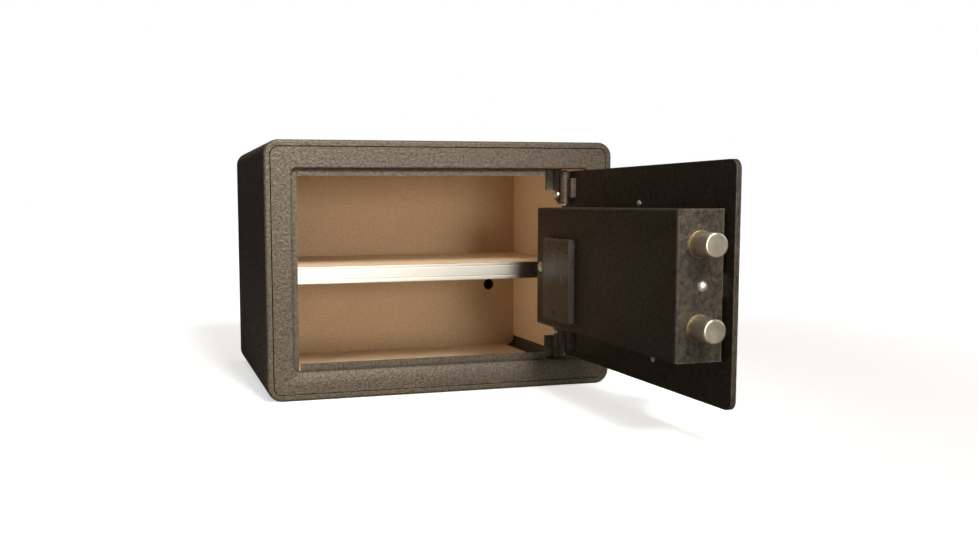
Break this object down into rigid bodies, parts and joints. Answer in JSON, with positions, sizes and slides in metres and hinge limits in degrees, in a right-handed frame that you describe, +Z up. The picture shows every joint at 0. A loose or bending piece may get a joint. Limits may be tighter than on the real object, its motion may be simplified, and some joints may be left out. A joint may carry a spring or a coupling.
{
  "type": "in-room safe",
  "caption": "Small steel hotel room safe with a lined interior, a shelf, a hinged door with two sliding locking bolts, a knob and an electronic keypad.",
  "frame": {"origin": "centre of the cabinet's underside, on the floor it stands on", "axes": "+Z up, -Y out of the front opening, +X towards the hinge side. The door stands open square to the front at rest"},
  "size_m": [0.358, 0.5395, 0.25],
  "materials": {
    "textured_paint": "dark grey textured powder coat, fine leather grain",
    "lining_felt": "tan short-pile felt",
    "bright_steel": "bright nickel plate",
    "zinc_plate": "zinc plated, satin",
    "shelf_aluminium": "drawn aluminium, satin",
    "bolt_steel": "turned steel, worn bright at the ends",
    "spring_steel": "nickel plated spring steel",
    "fascia_plastic": "black moulded plastic, fine spark texture",
    "knob_plastic": "black moulded plastic, satin",
    "lid_plastic": "black moulded plastic, semi-gloss",
    "key_plastic": "light grey moulded plastic with dark numerals",
    "button_plastic": "red moulded plastic",
    "light_lens": "clear tinted lens",
    "board": "glass-epoxy board with green resist",
    "copper_wire": "enamelled copper winding",
    "wire_sleeve": "PVC sleeving",
    "cell_sleeve": "printed-free cell sleeve, two colours",
    "brass_plug": "nickel-brass lock plug"
  },
  "bodies": {
    "cabinet": {"body_shell": "textured_paint", "back_panel": "textured_paint", "front_frame": "textured_paint", "hinge_brackets": "textured_paint", "hinge_pins": "bright_steel", "bracket_screws": "bright_steel", "lining_back": "lining_felt", "lining_sides": "lining_felt", "lining_top": "lining_felt", "lining_floor": "lining_felt", "shelf_panel": "zinc_plate", "shelf_mat": "lining_felt", "shelf_trim": "shelf_aluminium", "shelf_rests": "zinc_plate", "shelf_rest_screws": "bright_steel"},
    "door": {"door_plate": "textured_paint", "hinge_knuckles": "textured_paint", "mechanism_cover": "textured_paint", "cover_screw": "bright_steel", "bolt_bushings": "brass_plug", "end_bracket": "zinc_plate", "end_rivet": "bright_steel", "fascia": "fascia_plastic", "fascia_screws": "bright_steel", "status_lights": "light_lens", "keypad_board": "board", "lock_barrel": "zinc_plate", "lock_nut": "zinc_plate", "carriage_guides": "zinc_plate", "solenoid_frame": "zinc_plate", "solenoid_coil": "copper_wire", "plunger_spring": "spring_steel", "circuit_board": "board", "cable_harness": "wire_sleeve", "battery_box": "fascia_plastic", "battery_contacts": "spring_steel", "battery_cells": "cell_sleeve"},
    "knob": {"knob": "knob_plastic", "knob_crank": "zinc_plate"},
    "bolts": {"bolt_carriage": "zinc_plate", "blocking_arm": "zinc_plate", "locking_bolts": "bolt_steel"},
    "plunger": {"solenoid_plunger": "bright_steel"},
    "lock_plug": {"lock_plug": "brass_plug", "lock_cam": "zinc_plate"},
    "keyhole_cover": {"keyhole_cover": "fascia_plastic"},
    "battery_lid": {"battery_lid": "lid_plastic"},
    "reset_button": {"reset_button": "button_plastic"},
    "key_1": {"key_1": "key_plastic"},
    "key_2": {"key_2": "key_plastic"},
    "key_3": {"key_3": "key_plastic"},
    "key_4": {"key_4": "key_plastic"},
    "key_5": {"key_5": "key_plastic"},
    "key_6": {"key_6": "key_plastic"},
    "key_7": {"key_7": "key_plastic"},
    "key_8": {"key_8": "key_plastic"},
    "key_9": {"key_9": "key_plastic"},
    "key_star": {"key_star": "key_plastic"},
    "key_0": {"key_0": "key_plastic"},
    "key_hash": {"key_hash": "key_plastic"}
  },
  "joints": [
    {"name": "door_swing", "type": "hinge", "parent": "cabinet", "child": "door", "pos_m": [0.1319, -0.1178, 0.1254], "axis": [0, 0, 1], "range_deg": [-90, 25]},
    {"name": "knob_turn", "type": "hinge", "parent": "door", "child": "knob", "pos_m": [0.1386, -0.2927, 0.078], "axis": [-1, 0, 0], "range_deg": [0, 90]},
    {"name": "bolt_slide", "type": "slide", "parent": "door", "child": "bolts", "axis": [0, 1, 0], "range_m": [0, 0.015]},
    {"name": "plunger_slide", "type": "slide", "parent": "door", "child": "plunger", "axis": [0, 0, 1], "range_m": [0, 0.005], "deforming": ["plunger_spring"]},
    {"name": "key_lock_turn", "type": "hinge", "parent": "door", "child": "lock_plug", "pos_m": [0.1386, -0.2497, 0.078], "axis": [1, 0, 0], "range_deg": [0, 90]},
    {"name": "keyhole_cover_swing", "type": "hinge", "parent": "door", "child": "keyhole_cover", "pos_m": [0.1551, -0.2497, 0.094], "axis": [1, 0, 0], "range_deg": [0, 100]},
    {"name": "battery_lid_swing", "type": "hinge", "parent": "door", "child": "battery_lid", "pos_m": [0.09385, -0.187, 0.1517], "axis": [0, 1, 0], "range_deg": [0, 100]},
    {"name": "reset_press", "type": "slide", "parent": "door", "child": "reset_button", "axis": [0, -1, 0], "range_m": [0, 0.0015]},
    {"name": "key_1_press", "type": "slide", "parent": "door", "child": "key_1", "axis": [-1, 0, 0], "range_m": [0, 0.0012]},
    {"name": "key_2_press", "type": "slide", "parent": "door", "child": "key_2", "axis": [-1, 0, 0], "range_m": [0, 0.0012]},
    {"name": "key_3_press", "type": "slide", "parent": "door", "child": "key_3", "axis": [-1, 0, 0], "range_m": [0, 0.0012]},
    {"name": "key_4_press", "type": "slide", "parent": "door", "child": "key_4", "axis": [-1, 0, 0], "range_m": [0, 0.0012]},
    {"name": "key_5_press", "type": "slide", "parent": "door", "child": "key_5", "axis": [-1, 0, 0], "range_m": [0, 0.0012]},
    {"name": "key_6_press", "type": "slide", "parent": "door", "child": "key_6", "axis": [-1, 0, 0], "range_m": [0, 0.0012]},
    {"name": "key_7_press", "type": "slide", "parent": "door", "child": "key_7", "axis": [-1, 0, 0], "range_m": [0, 0.0012]},
    {"name": "key_8_press", "type": "slide", "parent": "door", "child": "key_8", "axis": [-1, 0, 0], "range_m": [0, 0.0012]},
    {"name": "key_9_press", "type": "slide", "parent": "door", "child": "key_9", "axis": [-1, 0, 0], "range_m": [0, 0.0012]},
    {"name": "key_star_press", "type": "slide", "parent": "door", "child": "key_star", "axis": [-1, 0, 0], "range_m": [0, 0.0012]},
    {"name": "key_0_press", "type": "slide", "parent": "door", "child": "key_0", "axis": [-1, 0, 0], "range_m": [0, 0.0012]},
    {"name": "key_hash_press", "type": "slide", "parent": "door", "child": "key_hash", "axis": [-1, 0, 0], "range_m": [0, 0.0012]}
  ],
  "couplings": [
    {"joint": "knob_turn", "follows": "bolt_slide", "rad_per_m": 104.72}
  ]
}
